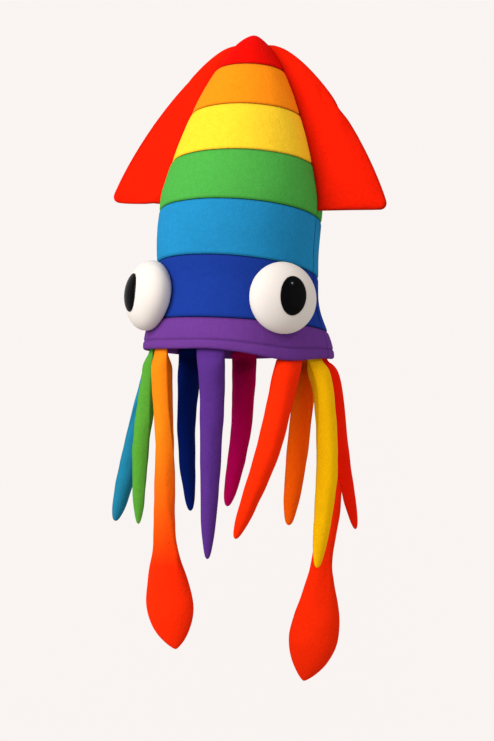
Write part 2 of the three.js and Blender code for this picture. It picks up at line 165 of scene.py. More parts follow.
class CrownSizes(bpy.types.PropertyGroup):
    """Sizes of the crown and of its bands."""

    hem_radius: length("Hem radius", "From the hat's axis to the outside of the hem", 0.095)
    waist_radius: length("Waist radius", "Radius above the hem, where the hat is narrowest", 0.080)
    waist_height: length("Waist height", "Height of the narrowest place", 0.066)
    shoulder_radius: length("Shoulder radius", "Radius where the crown starts to close", 0.0805)
    shoulder_height: length("Shoulder height", "Height where the crown starts to close", 0.148)
    height: length("Height", "From the hem to the tip of the crown", 0.322)
    hem_tilt: angle("Hem tilt", "How far the front of the hem stands above its back", 2.3)
    band_tilt: angle("Band tilt", "The same for the seams between bands", 10.5)
    band_tilt_height: length("Tilt height", "Height from which bands have their full tilt", 0.062)
    lower_lean: angle("Lower lean", "Lean of the hat's axis at the face", -6.0)
    crown_lean: angle("Crown lean", "Lean of the hat's axis in the crown", 7.6)
    lean_start: length("Lean start", "Height where the lean changes", 0.090)
    lean_length: length("Lean length", "Height over which the lean changes", 0.070)
    side_lean: length("Side lean", "How far the crown stands over towards +X", 0.0035)
    band_skew: amount("Band skew", "Rise of the crown's seams for each metre towards +X", 0.054)
    skew_start: length("Skew start", "Height from which seams run askew", 0.110)
    skew_length: length("Skew length", "Height over which the skew grows", 0.060)
    fleece: length("Fleece", "Thickness of the outer cloth", 0.003)
    swell: length("Swell", "How far a band stands out between its seams", 0.0005)
    seam_depth: length("Seam depth", "How far the cloth is drawn in at a seam", 0.0009)
    seam_width: length("Seam width", "How far from a seam the cloth is drawn in", 0.0013)
    hem_stitch: length("Hem stitching", "Height of the stitching above the hem's edge", 0.009)
    hem_fold: length("Hem fold", "Height of the folded-up hem inside", 0.011)
    hem_fold_cloth: length("Fold cloth", "Thickness of the folded-up cloth", 0.0024)
    lining_gap: length("Lining gap", "Between the outer cloth and what lies inside it", 0.0008)
    lining_cloth: length("Lining", "Thickness of the lining", 0.002)
    lining_dome: length("Lining dome", "Height where the lining starts to close", 0.128)
    lining_height: length("Lining height", "Height of the top of the lining", 0.186)


class FinSizes(bpy.types.PropertyGroup):
    """Sizes of the two fins."""

    reach: length("Reach", "From the crown's axis to a fin's outer corner", 0.1505)
    left_bottom: length("Left bottom", "Height of the left fin's lower edge at the crown", 0.150)
    right_bottom: length("Right bottom", "Height of the right fin's lower edge at the crown", 0.144)
    bottom_rise: length("Bottom rise", "From a fin's inner end out to its corner", 0.0045)
    straightness: amount("Straightness", "1 for a straight outer edge", 0.45)
    top: length("Top", "Height of a fin's upper end", 0.312)
    top_width: length("Top width", "Width of a fin at its upper end", 0.003)
    corner: length("Corner", "Radius of the outer corner", 0.009)
    thickness: length("Thickness", "Thickness of a stuffed fin", 0.0095)
    edge: length("Edge", "Thickness of the sewn edge", 0.0022)
    edge_width: length("Edge width", "Width over which a fin thins to its edge", 0.016)
    root_gap: length("Root gap", "From the crown's side to the fin's seam", 0.0018)
    tuck: length("Tuck", "How far a fin is sewn into the side seam", 0.0034)
    sweep: angle("Sweep", "How far a fin lies back from the side seam", 12.0)


class EyeSizes(bpy.types.PropertyGroup):
    """Sizes of the stuffed eyes and their pupils."""

    azimuth: angle("Azimuth", "From the face to the middle of an eye", 48.5)
    height: length("Height", "Height of an eye's middle on the crown", 0.046)
    out: length("Out", "From the hat's axis to an eye's middle", 0.094)
    radius: length("Radius", "Radius of an eye seen from in front", 0.035)
    bulge: length("Bulge", "Half an eye's thickness", 0.022)
    pupil_width: length("Pupil width", "Width of a pupil", 0.028)
    pupil_height: length("Pupil height", "Height of a pupil", 0.038)
    pupil_dome: length("Pupil dome", "How far a pupil stands off the eye", 0.0017)
    left_shift: length("Left shift", "How far the left pupil sits towards the middle of the face", 0.0025)


class ArmSizes(bpy.types.PropertyGroup):
    """Sizes that all arms share."""

    flatness: amount("Flatness", "Thickness as a share of width", 0.80)
    root_flatness: amount("Root flatness", "The same where an arm is sewn down", 0.20)
    club_flatness: amount("Club flatness", "The same in a club", 0.5)
    root_start: length("Root start", "Height above an arm's hinge where its root starts to open", 0.008)
    root_length: length("Root length", "Length below the hinge over which a root opens", 0.014)
    ridge: length("Seam ridge", "How far the sewn edges stand out", 0.0006)
    bend: length("Bend", "Length below the hem over which an arm bends", 0.028)


class ClothColours(bpy.types.PropertyGroup):
    """Colours of the cloths."""

    purple_fleece: cloth_colour("Purple fleece", "The brim", 104, 54, 136)
    royal_blue_fleece: cloth_colour("Royal blue fleece", "The band with the eyes", 24, 54, 142)
    sky_blue_fleece: cloth_colour("Sky blue fleece", "The third band", 32, 132, 182)
    green_fleece: cloth_colour("Green fleece", "The fourth band", 74, 164, 66)
    yellow_fleece: cloth_colour("Yellow fleece", "The fifth band", 255, 204, 44)
    orange_fleece: cloth_colour("Orange fleece", "The sixth band", 255, 138, 18)
    red_fleece: cloth_colour("Red fleece", "The tip of the crown", 228, 8, 1)
    fin_fleece: cloth_colour("Fin fleece", "Both fins", 234, 26, 1)
    violet_fleece: cloth_colour("Violet fleece", "The front arm", 84, 44, 126)
    red_orange_fleece: cloth_colour("Red-orange fleece", "An arm", 255, 43, 3)
    amber_fleece: cloth_colour("Amber fleece", "An arm", 255, 186, 4)
    scarlet_fleece: cloth_colour("Scarlet fleece", "An arm", 250, 28, 3)
    dark_orange_fleece: cloth_colour("Dark orange fleece", "An arm", 255, 95, 3)
    magenta_fleece: cloth_colour("Magenta fleece", "An arm", 190, 0, 88)
    navy_fleece: cloth_colour("Navy fleece", "An arm", 4, 28, 106)
    teal_fleece: cloth_colour("Teal fleece", "An arm", 32, 126, 158)
    leaf_green_fleece: cloth_colour("Leaf green fleece", "An arm", 84, 156, 50)
    tentacle_orange_fleece: cloth_colour("Tentacle orange fleece", "A tentacle's stalk", 255, 131, 18)
    tentacle_red_fleece: cloth_colour("Tentacle red fleece", "A tentacle and the clubs", 255, 42, 3)
    eye_fleece: cloth_colour("Eye fleece", "Both eyes", 226, 216, 208)
    pupil: cloth_colour("Pupil", "Both pupils", 3, 3, 4)
    lining_fleece: cloth_colour("Lining fleece", "The lining", 58, 40, 84)
    fibre_filling: cloth_colour("Filling", "The crown's stuffing", 240, 238, 232)
    backdrop: cloth_colour("Backdrop", "The floor and the wall behind the hat", 250, 245, 242)


class LightSettings(bpy.types.PropertyGroup):
    """Strengths of the lights, and the place of the camera."""

    sky: amount("Sky", "Strength of the even light from all round", 0.56)
    key: FloatProperty(name="Key", description="Power of the main light", default=61.0, unit="POWER")
    fill: FloatProperty(name="Fill", description="Power of the light opposite", default=1.5, unit="POWER")
    sparkle: FloatProperty(
        name="Sparkle", description="Power of the small light in the pupils", default=4.0, unit="POWER"
    )
    azimuth: angle("Camera azimuth", "Where the camera stands, from the face towards +X", 21.0)
    elevation: angle("Camera elevation", "How far above the hat the camera stands", 0.5)
    roll: angle("Camera roll", "How far the camera turns about its own axis", 1.5)
    distance: length("Camera distance", "From the camera to the hat's axis", 2.5)
    aim_height: length("Aim height", "Height that the camera looks at", -0.016)
    aim_side: length("Aim side", "How far to the right of the axis the camera looks", 0.009)
    view_height: length("View height", "Height of what the camera sees at the hat", 0.741)


# ---- The crown's shape ----
def ease(share):
    return (1 - math.cos(math.pi * within_unit(share))) / 2


def dip(distance, width):
    """1 on a line, falling to 0 away from it."""
    return math.exp(-((distance / width) ** 2))


def within_unit(share):
    return min(max(share, 0.0), 1.0)


def ripple(point, size):
    """Smooth unevenness between -1 and 1, over places of a size."""
    return noise.noise(point / size)


def stand_up(bm):
    """Turns a flat grid or a ball's axis from +Z to face -Y."""
    bmesh.ops.rotate(bm, verts=bm.verts, cent=(0, 0, 0), matrix=Matrix.Rotation(math.pi / 2, 3, "X"))


class Crown:
    """The crown as an upright round body, and the way that it leans."""

    STEP = 0.001  # between the points of the axis
    SPARE = 0.02  # length of the axis past the tip
    SHARPNESS = 1.2
    ROUNDNESS = 0.62
    ROUNDS = 12  # that finding a leaning point's upright place takes
    SIZES = (
        "hem_radius",
        "waist_radius",
        "waist_height",
        "shoulder_radius",
        "shoulder_height",
        "height",
        "hem_tilt",
        "band_tilt",
        "band_tilt_height",
        "lower_lean",
        "crown_lean",
        "lean_start",
        "lean_length",
        "side_lean",
    )

    def __init__(self, sizes):
        for name in self.SIZES:
            setattr(self, name, getattr(sizes, name))
        self.spine = self.walk_spine()

    def walk_spine(self):
        points = [(0.0, 0.0)]
        while len(points) * self.STEP < self.height + self.SPARE:
            lean = self.lean((len(points) - 0.5) * self.STEP)
            y, z = points[-1]
            points.append((y + math.sin(lean) * self.STEP, z + math.cos(lean) * self.STEP))
        return points

    def radius(self, height):
        if height >= self.shoulder_height:
            u = min((height - self.shoulder_height) / (self.height - self.shoulder_height), 1.0)
            return self.shoulder_radius * (1 - u**self.SHARPNESS) ** self.ROUNDNESS
        if height >= self.waist_height:
            rise = (height - self.waist_height) / (self.shoulder_height - self.waist_height)
            return self.waist_radius + (self.shoulder_radius - self.waist_radius) * ease(rise)
        fall = (self.waist_height - height) / self.waist_height
        return self.waist_radius + (self.hem_radius - self.waist_radius) * ease(fall)

    def tilt(self, height):
        return self.hem_tilt + (self.band_tilt - self.hem_tilt) * ease(height / self.band_tilt_height)

    def lean(self, height):
        turned = ease((height - self.lean_start) / self.lean_length)
        return self.lower_lean + (self.crown_lean - self.lower_lean) * turned

    def axis(self, height):
        """The axis's y and z at a height."""
        if height <= 0:
            lean = self.lean(0)
            return math.sin(lean) * height, math.cos(lean) * height
        place = height / self.STEP
        below = min(int(place), len(self.spine) - 2)
        share = place - below
        (y0, z0), (y1, z1) = self.spine[below], self.spine[below + 1]
        return y0 + (y1 - y0) * share, z0 + (z1 - z0) * share

    def aside(self, height):
        """How far the axis stands towards +X at a height."""
        return self.side_lean * ease((height - self.lean_start) / self.lean_length)

    def place(self, point):
        """Takes a point of the upright body to the leaning one."""
        tilt = self.tilt(point.z)
        y, z = self.axis(point.z)
        x = self.aside(point.z) + point.x
        return Vector((x, y + point.y * math.cos(tilt), z - point.y * math.sin(tilt)))

    def upright(self, point):
        """Takes a point of the leaning body back to the upright one."""
        height = point.z
        depth = point.y
        for _ in range(self.ROUNDS):
            tilt = self.tilt(height)
            y, z = self.axis(height)
            depth = (point.y - y) / math.cos(tilt)
            height += point.z - (z - depth * math.sin(tilt))
        return Vector((point.x - self.aside(height), depth, height))


HEM_DROP_FADE = 1.5  # above 1, the waves fade quickly up the brim


def hem_drop(point):
    """How far the wavy hem hangs below a true ring."""
    azimuth = math.degrees(math.atan2(point.x, -point.y))
    drop = 0.0
    for middle, width, depth in HEM_WAVES:
        away = abs(azimuth - middle)
        drop += depth * dip(min(away, 360 - away), width)
    return drop * max(1 - max(point.z, 0.0) / BANDS[0][2], 0.0) ** HEM_DROP_FADE


# ---- Making pieces ----
def new_piece(name, mesh_source, slot, nodes):
    """Turns a bmesh into a smooth, finished object in its own cloth."""
    mesh = bpy.data.meshes.new(name)
    mesh_source.to_mesh(mesh)
    mesh_source.free()
    mesh.polygons.foreach_set("use_smooth", [True] * len(mesh.polygons))
    piece = bpy.data.objects.new(name, mesh)
    bpy.context.scene.collection.objects.link(piece)
    mesh.materials.append(finish_for(slot))
    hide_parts(*nodes)
    return piece


def round_off(piece, levels=1):
    modifier = piece.modifiers.new("smooth", "SUBSURF")
    modifier.levels = levels
    modifier.render_levels = levels


def draw_outline(bm, points, closed):
    """Lays (radius, height) points in the XZ plane."""
    corners = [bm.verts.new((radius, 0.0, height)) for radius, height in points]
    ends = corners[1:] + corners[:1] if closed else corners[1:]
    for start, end in zip(corners, ends):
        bm.edges.new((start, end))
    return corners


MERGE = 1e-6  # distance within which points are one
TINY = 1e-5  # length below which a direction can't be told
HAT_STEPS = 112  # round the whole hat


def revolve(points, closed):
    """A ring from a closed outline, or a shell that closes on the axis from an open one."""
    bm = bmesh.new()
    draw_outline(bm, points, closed)
    bmesh.ops.spin(
        bm,
        geom=bm.verts[:] + bm.edges[:],
        cent=(0, 0, 0),
        axis=(0, 0, 1),
        angle=math.tau,
        steps=HAT_STEPS,
        use_merge=True,
    )
    bmesh.ops.remove_doubles(bm, verts=bm.verts, dist=MERGE)
    bmesh.ops.recalc_face_normals(bm, faces=bm.faces)
    return bm


def between(start, end, spacing):
    """Evenly spaced places between two ends, without the ends."""
    count = max(int(math.ceil((end - start) / spacing)), 1)
    return [start + (end - start) * i / count for i in range(1, count)]


# ---- Bands ----
SEAM_MARGINS = (0.0, 0.0005, 0.0012, 0.0021, 0.0033, 0.0050, 0.0072)
BAND_GAP = 0.00015  # from the middle of a seam to a band's edge
BAND_SPACING = 0.0042  # between rows of points up a band's outside
BAND_STEPS = 76  # round half of the hat
BAND_INSIDE_SPACING = 0.009
BAND_INSIDE_SHADE = 0.6
BAND_RIPPLES = ((0.0006, 0.034), (0.0003, 0.013))  # depth and size of the cloth's unevenness
SWELL_POWER = 0.7  # below 1, a band is flatter in its middle
HEM_ROUNDING = 0.0022  # radius of the hem's lower edge
HEM_INSIDE_START = 0.0015
HEM_PUFF = 0.0004  # swell of the hem below its stitching
STITCH_ROWS = (-0.0016, -0.0008, 0.0, 0.0008, 0.0016)
STITCH_WIDTH = 0.0010
STITCH_DEPTH = 0.0009
STITCH_LINE = 0.0008  # width of the shade along the stitching
STITCH_SHADE = 0.8
TIP_SPACING = 0.006
SIDE_CROWDING = 0.42  # how far a panel's columns crowd towards its side seams
SIDE_GAP = 0.0006
SEAM_LINE = 0.0013  # width of the shade along a seam
SIDE_SEAM = 0.4  # how strongly the side seams show, next to the seams between bands


def outside_points(crown, sizes, start, end, is_hem, is_tip):
    """Points up a panel's outside, each with how near it is to a seam."""
    low = [start + margin for margin in SEAM_MARGINS]
    high = [end - margin for margin in reversed(SEAM_MARGINS)]
    heights = low + between(low[-1], high[0], BAND_SPACING) + high
    if is_hem:
        heights = sorted({*heights, *(sizes.hem_stitch + offset for offset in STITCH_ROWS)})
    points = []
    for height in heights:
        share = (height - start) / (end - start)
        above = height - start
        below = end - height
        radius = crown.radius(height) + sizes.swell * math.sin(math.pi * min(share, 1.0)) ** SWELL_POWER
        if is_hem:
            from_stitch = height - sizes.hem_stitch
            short = max(HEM_ROUNDING - above, 0.0)
            radius -= HEM_ROUNDING - math.sqrt(HEM_ROUNDING**2 - short**2)
            radius += HEM_PUFF * math.sin(math.pi * min(above / sizes.hem_stitch, 1.0))
            radius -= STITCH_DEPTH * dip(from_stitch, STITCH_WIDTH)
            near = STITCH_SHADE * dip(from_stitch, STITCH_LINE)
        else:
            radius -= sizes.seam_depth * dip(above, sizes.seam_width)
            near = dip(above, SEAM_LINE)
        if not is_tip:
            radius -= sizes.seam_depth * dip(below, sizes.seam_width)
            near = max(near, dip(below, SEAM_LINE))
        points.append((max(radius, 0.0), height, near))
    return points


def slide_seam(crown, sizes, x, height):
    """The height of a panel's point once its seams run askew."""
    skew = sizes.band_skew * ease((height - sizes.skew_start) / sizes.skew_length)
    return min(height + skew * x, crown.height)


def sew_panel(crown, sizes, side, outside, inside):
    """Half of a band: its section swept from one side seam to the other, then leaned."""
    bm = bmesh.new()
    seam = bm.verts.layers.float.new("seam")
    outer = bm.verts.layers.float.new("outer")
    corners = []
    for radius, height, near in outside:
        corner = bm.verts.new((radius, 0.0, height))
        corner[seam] = near
        corner[outer] = 1.0
        corners.append(corner)
    for radius, height in inside:
        corner = bm.verts.new((radius, 0.0, height))
        corner[seam] = BAND_INSIDE_SHADE
        corners.append(corner)
    bm.faces.new(corners)
    facing = -1 if side == "front" else 1
    bmesh.ops.spin(
        bm,
        geom=bm.verts[:] + bm.edges[:] + bm.faces[:],
        cent=(0, 0, 0),
        axis=(0, 0, 1),
        angle=facing * math.pi,
        steps=BAND_STEPS,
        use_merge=False,
    )
    bmesh.ops.remove_doubles(bm, verts=bm.verts, dist=MERGE)
    for vert in bm.verts:
        radius = math.hypot(vert.co.x, vert.co.y)
        around = abs(math.atan2(facing * vert.co.y, vert.co.x)) if radius > MERGE else math.pi / 2
        around -= SIDE_CROWDING * math.sin(2 * around)
        from_side = radius * math.sin(around)
        if vert[outer] > 0.5:
            radius -= SIDE_SEAM * sizes.seam_depth * dip(from_side, sizes.seam_width)
            vert[seam] = max(vert[seam], SIDE_SEAM * dip(from_side, SEAM_LINE))
            radius = max(radius, 0.0)
        height = slide_seam(crown, sizes, radius * math.cos(around), vert.co.z)
        if radius > 0:
            radius = max(radius + crown.radius(height) - crown.radius(vert.co.z), 0.0)
        x = radius * math.cos(around)
        y = facing * (radius * math.sin(around) + SIDE_GAP / 2)
        point = Vector((x, y, height))
        if vert[outer] > 0.5 and radius > TINY:
            outwards = Vector((x, y, 0)).normalized()
            point += outwards * sum(depth * ripple(point, size) for depth, size in BAND_RIPPLES)
        placed = crown.place(point)
        placed.z -= hem_drop(point)
        vert.co = placed
    bm.verts.layers.float.remove(outer)
    bmesh.ops.recalc_face_normals(bm, faces=bm.faces)
    return bm


class SQUIDHAT_OT_sew_bands(bpy.types.Operator):
    """Sews the front and back panels of the six bands"""

    bl_idname = "squidhat.sew_bands"
    bl_label = "Sew the bands"

    def execute(self, context):
        sizes = context.scene.squid_crown
        crown = Crown(sizes)
        start = 0.0
        for name, cloth, end in BANDS:
            is_hem = name == "brim"
            low, high = start + BAND_GAP, end - BAND_GAP
            outside = outside_points(crown, sizes, low, high, is_hem, is_tip=False)
            bottom = low + (HEM_INSIDE_START if is_hem else 0)
            levels = [high, *reversed(between(low, high, BAND_INSIDE_SPACING)), bottom]
            inside = [(crown.radius(level) - sizes.fleece, level) for level in levels]
            for side in ("front", "back"):
                bm = sew_panel(crown, sizes, side, outside, inside)
                panel = new_piece(f"{name}_{side}_cloth", bm, cloth, [f"{name}_{side}_panel"])
                round_off(panel)
                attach(panel, "hat")
            start = end
        return {"FINISHED"}


class SQUIDHAT_OT_close_tip(bpy.types.Operator):
    """Sews the two halves of the crown's red tip"""

    bl_idname = "squidhat.close_tip"
    bl_label = "Close the tip"

    def execute(self, context):
        sizes = context.scene.squid_crown
        crown = Crown(sizes)
        low = TIP_START + BAND_GAP
        outside = outside_points(crown, sizes, low, crown.height, is_hem=False, is_tip=True)
        under = crown.height - 2 * sizes.fleece
        levels = [*reversed(between(low, under, TIP_SPACING)), low]
        inside = [(0.0, under)]
        inside += [(max(crown.radius(level) - sizes.fleece, 0.0), level) for level in levels]
        for side in ("front", "back"):
            bm = sew_panel(crown, sizes, side, outside, inside)
            panel = new_piece(f"crown_tip_{side}_cloth", bm, "red_fleece", [f"crown_tip_{side}_panel"])
            round_off(panel)
            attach(panel, "hat")
        return {"FINISHED"}


# ---- Inside the crown ----
FOLD_START = 0.0008  # height of the folded-up cloth's lower edge
FOLD_SPACING = 0.0017
FOLD_PINCH = 0.0007  # how far the fold thins at its edges
FOLD_PINCH_SHARE = 0.12
LINING_GAP = 0.0003  # above the hem fold
LINING_SPACING = 0.006
DOME_STEPS = 12
FILLING_START = 0.018  # above the start of the lining's dome
FILLING_LIP = 0.001
FILLING_DENTS = 0.004  # as a share of the distance from the origin
FILLING_DENT_SIZE = 0.016


def lean_over(bm, crown):
    for vert in bm.verts:
        placed = crown.place(vert.co)
        placed.z -= hem_drop(vert.co)
        vert.co = placed


class SQUIDHAT_OT_line_crown(bpy.types.Operator):
    """Folds the hem up inside, lines the room for the head and stuffs the crown above it"""

    bl_idname = "squidhat.line_crown"
    bl_label = "Line and stuff the crown"

    def execute(self, context):
        sizes = context.scene.squid_crown
        crown = Crown(sizes)
        self.fold_hem(crown, sizes)
        self.sew_lining(crown, sizes)
        self.stuff_crown(crown, sizes)
        return {"FINISHED"}

    def fold_hem(self, crown, sizes):
        depth = sizes.fleece + sizes.lining_gap
        heights = [FOLD_START, *between(FOLD_START, sizes.hem_fold, FOLD_SPACING), sizes.hem_fold]
        points = [(crown.radius(height) - depth, height) for height in heights]
        for height in reversed(heights):
            share = (height - heights[0]) / (heights[-1] - heights[0])
            pinch = FOLD_PINCH * (dip(share, FOLD_PINCH_SHARE) + dip(1 - share, FOLD_PINCH_SHARE))
            points.append((crown.radius(height) - depth - sizes.hem_fold_cloth + pinch, height))
        bm = revolve(points, closed=True)
        lean_over(bm, crown)
        fold = new_piece("folded_hem", bm, "purple_fleece", ["hem_fold"])
        round_off(fold)
        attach(fold, "hat")

    def dome(self, crown, sizes, depth, top):
        """Points up the dome over the room for the head, to the axis."""
        base = crown.radius(sizes.lining_dome) - depth
        points = []
        for i in range(DOME_STEPS + 1):
            turned = math.pi / 2 * i / DOME_STEPS
            radius = base * math.cos(turned) if i < DOME_STEPS else 0.0
            points.append((radius, sizes.lining_dome + (top - sizes.lining_dome) * math.sin(turned)))
        return points

    def sew_lining(self, crown, sizes):
        depth = sizes.fleece + sizes.lining_gap
        bottom = sizes.hem_fold + LINING_GAP
        heights = [bottom, *between(bottom, sizes.lining_dome, LINING_SPACING)]
        outside = [(crown.radius(h) - depth, h) for h in heights]
        outside += self.dome(crown, sizes, depth, sizes.lining_height)
        inner = depth + sizes.lining_cloth
        inside = [(crown.radius(h) - inner, h) for h in heights]
        inside += self.dome(crown, sizes, inner, sizes.lining_height - sizes.lining_cloth)
        bm = revolve(list(reversed(inside)) + outside, closed=False)
        lean_over(bm, crown)
        lining = new_piece("crown_lining", bm, "lining_fleece", ["lining"])
        round_off(lining)
        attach(lining, "hat")

    def stuff_crown(self, crown, sizes):
        depth = sizes.fleece + sizes.lining_gap
        start = sizes.lining_dome + FILLING_START
        top = crown.height - 3 * sizes.fleece
        heights = [start, *between(start, top, LINING_SPACING)]
        outside = [(crown.radius(h) - depth, h) for h in heights] + [(0.0, top)]
        over = self.dome(crown, sizes, sizes.fleece, sizes.lining_height + sizes.lining_gap)
        inside = [point for point in reversed(over) if point[1] > start]
        lip = (inside[-1][0] + FILLING_LIP, start)
        bm = revolve([*inside, lip, *outside], closed=False)
        for vert in bm.verts:
            vert.co *= 1 - FILLING_DENTS * max(ripple(vert.co, FILLING_DENT_SIZE), 0.0)
        lean_over(bm, crown)
        stuffing = new_piece("crown_filling", bm, "fibre_filling", ["crown_stuffing"])
        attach(stuffing, "hat")


# ---- Fins ----
FIN_COLUMNS = 34
FIN_ROWS = 64
FIN_COLUMN_EASE = 0.6  # how far columns crowd towards both sides
FIN_ROW_EASE = 0.3
FIN_ROW_POWER = 1.35  # above 1, rows crowd towards the lower edge
FIN_CURVE_POWER = 0.6  # of the curved part of the outer edge
FIN_HELD = 0.006  # width outside the tuck that stays put as the fin fills
FIN_LUMP = 0.0011
FIN_LUMP_SIZE = 0.030
FIN_LUMP_SHIFT = 0.05  # so that the two faces have lumps of their own
FIN_PUCKER = 0.00045
FIN_PUCKER_SIZE = 0.006
FIN_PUCKER_SHIFT = 0.03
FIN_PUCKER_WIDTH = 0.012  # from the sewn edge
FIN_SEAM_LINE = 0.0016
# painted shade: how dark a fin is painted next to the crown, where the crown shades it
FIN_ROOT_SHADE = 0.75
FIN_ROOT_SHADE_WIDTH = 0.013
FIN_BLEND = (0.008, 0.032)  # from the seam, where a fin starts to move and where it moves in full


class SQUIDHAT_OT_sew_fins(bpy.types.Operator):
    """Sews the two stuffed fins into the side seams"""

    bl_idname = "squidhat.sew_fins"
    bl_label = "Sew the fins"

    def execute(self, context):
        crown = Crown(context.scene.squid_crown)
        sizes = context.scene.squid_fins
        self.sew(crown, sizes, "left", sizes.left_bottom)
        self.sew(crown, sizes, "right", sizes.right_bottom)
        return {"FINISHED"}

    def inner(self, crown, sizes, height):
        return crown.radius(height) + sizes.root_gap

    def outer(self, crown, sizes, bottom, height):
        up = min((height - bottom) / (sizes.top - bottom), 1.0)
        bow = 1 - (1 - up**2) ** FIN_CURVE_POWER
        curved = sizes.straightness * up + (1 - sizes.straightness) * bow
        short = min(max(sizes.corner - (height - bottom), 0.0), sizes.corner)
        corner = sizes.corner - math.sqrt(sizes.corner**2 - short**2)
        narrow = self.inner(crown, sizes, sizes.top) + sizes.top_width
        return sizes.reach - (sizes.reach - narrow) * curved - corner

    def lift(self, crown, sizes, bottom, reach, height):
        """How far a point is lifted, so that the lower edge rises towards the corner."""
        inner = self.inner(crown, sizes, bottom)
        across = within_unit((reach - inner) / (sizes.reach - inner))
        up = within_unit((height - bottom) / (sizes.top - bottom))
        return sizes.bottom_rise * across * (1 - up)

    def sew(self, crown, sizes, side, bottom):
        bm = bmesh.new()
        seam = bm.verts.layers.float.new("seam")
        bmesh.ops.create_grid(bm, x_segments=FIN_COLUMNS, y_segments=FIN_ROWS, size=0.5)
        stand_up(bm)
        bmesh.ops.solidify(bm, geom=bm.faces, thickness=sizes.thickness)
        flip = -1 if side == "left" else 1
        low = crown.place(Vector((flip * self.inner(crown, sizes, bottom), 0, bottom)))
        high = crown.place(Vector((flip * self.inner(crown, sizes, sizes.top), 0, sizes.top)))
        chord = (high - low).normalized()
        sweep = Quaternion(chord, flip * sizes.sweep)
        middle = sum((vert.co.y for vert in bm.verts)) / len(bm.verts)
        sewn = []
        for number, vert in enumerate(bm.verts):
            across = vert.co.x + 0.5
            across = ease(across) * FIN_COLUMN_EASE + across * (1 - FIN_COLUMN_EASE)
            up = vert.co.z + 0.5
            up = up**FIN_ROW_POWER * (1 - FIN_ROW_EASE) + ease(up) * FIN_ROW_EASE
            height = bottom + (sizes.top - bottom) * up
            near = self.inner(crown, sizes, height) - sizes.tuck
            far = self.outer(crown, sizes, bottom, height)
            reach = near + (far - near) * across
            margin = min(far - reach, height - bottom, sizes.top - height)
            root = reach - near
            if root < sizes.tuck + FIN_HELD:
                sewn.append(number)
            share = within_unit(min(margin, root) / sizes.edge_width)
            full = math.sqrt(1 - (1 - share) ** 2)
            thickness = sizes.edge + (sizes.thickness - sizes.edge) * full
            face = 1 if vert.co.y > middle else -1
            point = Vector((reach, face * thickness / 2, height))
            lump = ripple(Vector((reach, face * FIN_LUMP_SHIFT, height)), FIN_LUMP_SIZE)
            pucker = ripple(Vector((reach, face * FIN_PUCKER_SHIFT, height)), FIN_PUCKER_SIZE)
            pucker *= dip(margin, FIN_PUCKER_WIDTH)
            point.y += face * full * (FIN_LUMP * lump + FIN_PUCKER * pucker)
            point.x *= flip
            point.z += self.lift(crown, sizes, bottom, reach, height)
            vert.co = sweep @ (crown.place(point) - low) + low
            # Painted shade next to the crown rides in the seam attribute, beside the sewn edge's seam line.
            shade = FIN_ROOT_SHADE * dip(root, FIN_ROOT_SHADE_WIDTH)
            vert[seam] = max(dip(margin, FIN_SEAM_LINE), shade)
        bmesh.ops.recalc_face_normals(bm, faces=bm.faces)
        nodes = [f"{side}_fin_{part}" for part in ("front_panel", "back_panel", "wadding")]
        fin = new_piece(f"{side}_fin_cushion", bm, "fin_fleece", nodes)
        swell_with_cloth(fin, pressure=3.0, most=0.0025, held=sewn)
        round_off(fin)
        outwards = sweep @ Vector((flip, 0, 0))
        outwards = (outwards - chord * outwards.dot(chord)).normalized()
        start, end = (low + outwards * distance for distance in FIN_BLEND)
        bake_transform(fin, "hat", f"{side}_fin", start=tuple(start), end=tuple(end))


CLOTH_FRAMES = 20


def swell_with_cloth(piece, pressure, most, held):
    """Lets the filling push a cover out as cloth. Held points stay, and no other moves past a limit."""
    scene = bpy.context.scene
    rest = [vert.co.copy() for vert in piece.data.vertices]
    pinned = piece.vertex_groups.new(name="pinned")
    pinned.add(held, 1.0, "REPLACE")
    cloth = piece.modifiers.new("filling", "CLOTH")
    cloth.settings.quality = 5
    cloth.settings.mass = 0.15
    cloth.settings.use_pressure = True
    cloth.settings.uniform_pressure_force = pressure
    cloth.settings.effector_weights.gravity = 0
    cloth.settings.vertex_group_mass = pinned.name
    cloth.point_cache.frame_start = 1
    cloth.point_cache.frame_end = CLOTH_FRAMES
    for frame_number in range(1, CLOTH_FRAMES + 1):
        scene.frame_set(frame_number)
    stuffed = piece.evaluated_get(bpy.context.evaluated_depsgraph_get())
    moved = [vert.co.copy() for vert in stuffed.data.vertices]
    piece.modifiers.remove(cloth)
    piece.vertex_groups.remove(pinned)
    for vert, start, end in zip(piece.data.vertices, rest, moved):
        step = end - start
        if step.length > most:
            step *= most / step.length
        vert.co = start + step
    scene.frame_set(1)


# ---- Eyes ----
EYE_LUMP = 0.006  # as a share of the eye's size
EYE_LUMP_SIZE = 0.55
EYE_GAP = 0.0009  # between an eye and the crown that it is pressed against
EYE_SHADE = 0.5
EYE_SHADE_WIDTH = 0.006
PUPIL_GAP = 0.0006
PUPIL_BACK = 0.0004  # thickness of a pupil behind its rim


class Eye:
    """Where an eye sits on the crown."""

    def __init__(self, crown, sizes, side):
        turn = sizes.azimuth if side == "right" else -sizes.azimuth
        y, z = crown.axis(sizes.height)
        self.place = (
            Matrix.Translation((0, y, z))
            @ Matrix.Rotation(-crown.tilt(sizes.height), 4, "X")
            @ Matrix.Rotation(turn, 4, "Z")
            @ Matrix.Translation((0, -sizes.out, 0))
        )

    @staticmethod
    def front(sizes, x, z):
        """How far the eye's front stands from its middle plane."""
        share = min((x**2 + z**2) / sizes.radius**2, 1.0)
        return sizes.bulge * math.sqrt(1 - share)


